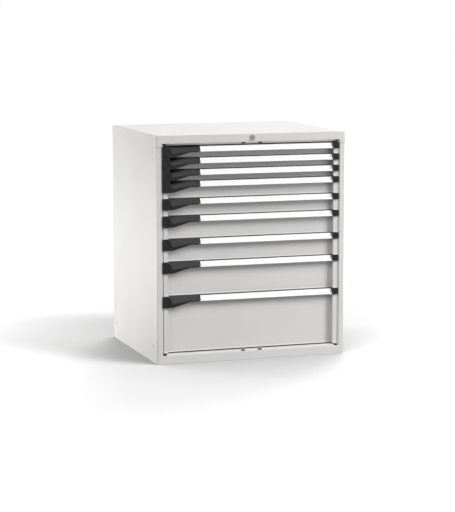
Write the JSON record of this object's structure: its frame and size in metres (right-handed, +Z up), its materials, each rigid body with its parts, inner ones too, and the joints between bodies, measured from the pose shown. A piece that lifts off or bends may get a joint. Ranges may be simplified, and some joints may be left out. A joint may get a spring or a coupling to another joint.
{
  "type": "drawer cabinet",
  "caption": "Free-standing steel workshop drawer cabinet with recessed fronts, sloping label handles, moulded grips and a central lock; full-extension drawers.",
  "frame": {"origin": "on the floor, under the middle of the housing's footprint", "axes": "+Z up, +Y from the drawer fronts towards the back, +X to the right as seen from the front"},
  "size_m": [0.872, 0.733, 1],
  "materials": {
    "grey_powder_coat": "satin light grey powder coat",
    "zinc_plated_steel": "zinc plated",
    "anodised_aluminium": "matt silver anodised",
    "label_strip": "white paper under a clear cover",
    "black_plastic": "fine grain",
    "lock_zinc": "satin die-cast zinc",
    "lock_nickel": "nickel plated"
  },
  "bodies": {
    "cabinet": {"lid": "grey_powder_coat", "base_frame": "grey_powder_coat", "left_side_panel": "grey_powder_coat", "right_side_panel": "grey_powder_coat", "back_panel": "grey_powder_coat", "top_crossmember": "zinc_plated_steel", "slide_posts": "zinc_plated_steel", "left_cabinet_rails": "zinc_plated_steel", "right_cabinet_rails": "zinc_plated_steel", "lock_housing": "lock_zinc", "lock_guides": "zinc_plated_steel"},
    "drawer_1": {"drawer_1_tray": "grey_powder_coat", "drawer_1_handle": "anodised_aluminium", "drawer_1_label": "label_strip", "drawer_1_grip_and_cap": "black_plastic"},
    "drawer_2": {"drawer_2_tray": "grey_powder_coat", "drawer_2_handle": "anodised_aluminium", "drawer_2_label": "label_strip", "drawer_2_grip_and_cap": "black_plastic"},
    "drawer_3": {"drawer_3_tray": "grey_powder_coat", "drawer_3_handle": "anodised_aluminium", "drawer_3_label": "label_strip", "drawer_3_grip_and_cap": "black_plastic"},
    "drawer_4": {"drawer_4_tray": "grey_powder_coat", "drawer_4_handle": "anodised_aluminium", "drawer_4_label": "label_strip", "drawer_4_grip_and_cap": "black_plastic"},
    "drawer_5": {"drawer_5_tray": "grey_powder_coat", "drawer_5_handle": "anodised_aluminium", "drawer_5_label": "label_strip", "drawer_5_grip_and_cap": "black_plastic"},
    "drawer_6": {"drawer_6_tray": "grey_powder_coat", "drawer_6_handle": "anodised_aluminium", "drawer_6_label": "label_strip", "drawer_6_grip_and_cap": "black_plastic"},
    "drawer_7": {"drawer_7_tray": "grey_powder_coat", "drawer_7_handle": "anodised_aluminium", "drawer_7_label": "label_strip", "drawer_7_grip_and_cap": "black_plastic"},
    "drawer_8": {"drawer_8_tray": "grey_powder_coat", "drawer_8_handle": "anodised_aluminium", "drawer_8_label": "label_strip", "drawer_8_grip_and_cap": "black_plastic"},
    "drawer_9": {"drawer_9_tray": "grey_powder_coat", "drawer_9_handle": "anodised_aluminium", "drawer_9_label": "label_strip", "drawer_9_grip_and_cap": "black_plastic"},
    "carriages_1": {"drawer_1_carriages": "zinc_plated_steel"},
    "carriages_2": {"drawer_2_carriages": "zinc_plated_steel"},
    "carriages_3": {"drawer_3_carriages": "zinc_plated_steel"},
    "carriages_4": {"drawer_4_carriages": "zinc_plated_steel"},
    "carriages_5": {"drawer_5_carriages": "zinc_plated_steel"},
    "carriages_6": {"drawer_6_carriages": "zinc_plated_steel"},
    "carriages_7": {"drawer_7_carriages": "zinc_plated_steel"},
    "carriages_8": {"drawer_8_carriages": "zinc_plated_steel"},
    "carriages_9": {"drawer_9_carriages": "zinc_plated_steel"},
    "lock_cylinder_body": {"lock_cylinder": "lock_nickel"},
    "lock_slider_body": {"lock_slider": "zinc_plated_steel"},
    "lock_bar_body": {"lock_bar": "zinc_plated_steel"}
  },
  "joints": [
    {"name": "drawer_1_slide", "type": "slide", "parent": "cabinet", "child": "drawer_1", "axis": [0, -1, 0], "range_m": [0, 0.612]},
    {"name": "carriages_1_slide", "type": "slide", "parent": "cabinet", "child": "carriages_1", "axis": [0, -1, 0], "range_m": [0, 0.306]},
    {"name": "drawer_2_slide", "type": "slide", "parent": "cabinet", "child": "drawer_2", "axis": [0, -1, 0], "range_m": [0, 0.612]},
    {"name": "carriages_2_slide", "type": "slide", "parent": "cabinet", "child": "carriages_2", "axis": [0, -1, 0], "range_m": [0, 0.306]},
    {"name": "drawer_3_slide", "type": "slide", "parent": "cabinet", "child": "drawer_3", "axis": [0, -1, 0], "range_m": [0, 0.612]},
    {"name": "carriages_3_slide", "type": "slide", "parent": "cabinet", "child": "carriages_3", "axis": [0, -1, 0], "range_m": [0, 0.306]},
    {"name": "drawer_4_slide", "type": "slide", "parent": "cabinet", "child": "drawer_4", "axis": [0, -1, 0], "range_m": [0, 0.612]},
    {"name": "carriages_4_slide", "type": "slide", "parent": "cabinet", "child": "carriages_4", "axis": [0, -1, 0], "range_m": [0, 0.306]},
    {"name": "drawer_5_slide", "type": "slide", "parent": "cabinet", "child": "drawer_5", "axis": [0, -1, 0], "range_m": [0, 0.612]},
    {"name": "carriages_5_slide", "type": "slide", "parent": "cabinet", "child": "carriages_5", "axis": [0, -1, 0], "range_m": [0, 0.306]},
    {"name": "drawer_6_slide", "type": "slide", "parent": "cabinet", "child": "drawer_6", "axis": [0, -1, 0], "range_m": [0, 0.612]},
    {"name": "carriages_6_slide", "type": "slide", "parent": "cabinet", "child": "carriages_6", "axis": [0, -1, 0], "range_m": [0, 0.306]},
    {"name": "drawer_7_slide", "type": "slide", "parent": "cabinet", "child": "drawer_7", "axis": [0, -1, 0], "range_m": [0, 0.612]},
    {"name": "carriages_7_slide", "type": "slide", "parent": "cabinet", "child": "carriages_7", "axis": [0, -1, 0], "range_m": [0, 0.306]},
    {"name": "drawer_8_slide", "type": "slide", "parent": "cabinet", "child": "drawer_8", "axis": [0, -1, 0], "range_m": [0, 0.612]},
    {"name": "carriages_8_slide", "type": "slide", "parent": "cabinet", "child": "carriages_8", "axis": [0, -1, 0], "range_m": [0, 0.306]},
    {"name": "drawer_9_slide", "type": "slide", "parent": "cabinet", "child": "drawer_9", "axis": [0, -1, 0], "range_m": [0, 0.612]},
    {"name": "carriages_9_slide", "type": "slide", "parent": "cabinet", "child": "carriages_9", "axis": [0, -1, 0], "range_m": [0, 0.306]},
    {"name": "lock_turn", "type": "hinge", "parent": "cabinet", "child": "lock_cylinder_body", "pos_m": [0, -0.34, 0.982], "axis": [0, 1, 0], "range_deg": [0, 90]},
    {"name": "lock_slider_slide", "type": "slide", "parent": "cabinet", "child": "lock_slider_body", "axis": [1, 0, 0], "range_m": [0, 0.005]},
    {"name": "lock_bar_lift", "type": "slide", "parent": "cabinet", "child": "lock_bar_body", "axis": [0, 0, 1], "range_m": [0, 0.005]}
  ],
  "couplings": [
    {"joint": "carriages_1_slide", "follows": "drawer_1_slide", "ratio": 0.5},
    {"joint": "carriages_2_slide", "follows": "drawer_2_slide", "ratio": 0.5},
    {"joint": "carriages_3_slide", "follows": "drawer_3_slide", "ratio": 0.5},
    {"joint": "carriages_4_slide", "follows": "drawer_4_slide", "ratio": 0.5},
    {"joint": "carriages_5_slide", "follows": "drawer_5_slide", "ratio": 0.5},
    {"joint": "carriages_6_slide", "follows": "drawer_6_slide", "ratio": 0.5},
    {"joint": "carriages_7_slide", "follows": "drawer_7_slide", "ratio": 0.5},
    {"joint": "carriages_8_slide", "follows": "drawer_8_slide", "ratio": 0.5},
    {"joint": "carriages_9_slide", "follows": "drawer_9_slide", "ratio": 0.5},
    {"joint": "lock_slider_slide", "follows": "lock_bar_lift", "ratio": 1},
    {"joint": "lock_turn", "follows": "lock_bar_lift", "rad_per_m": 314.16}
  ]
}
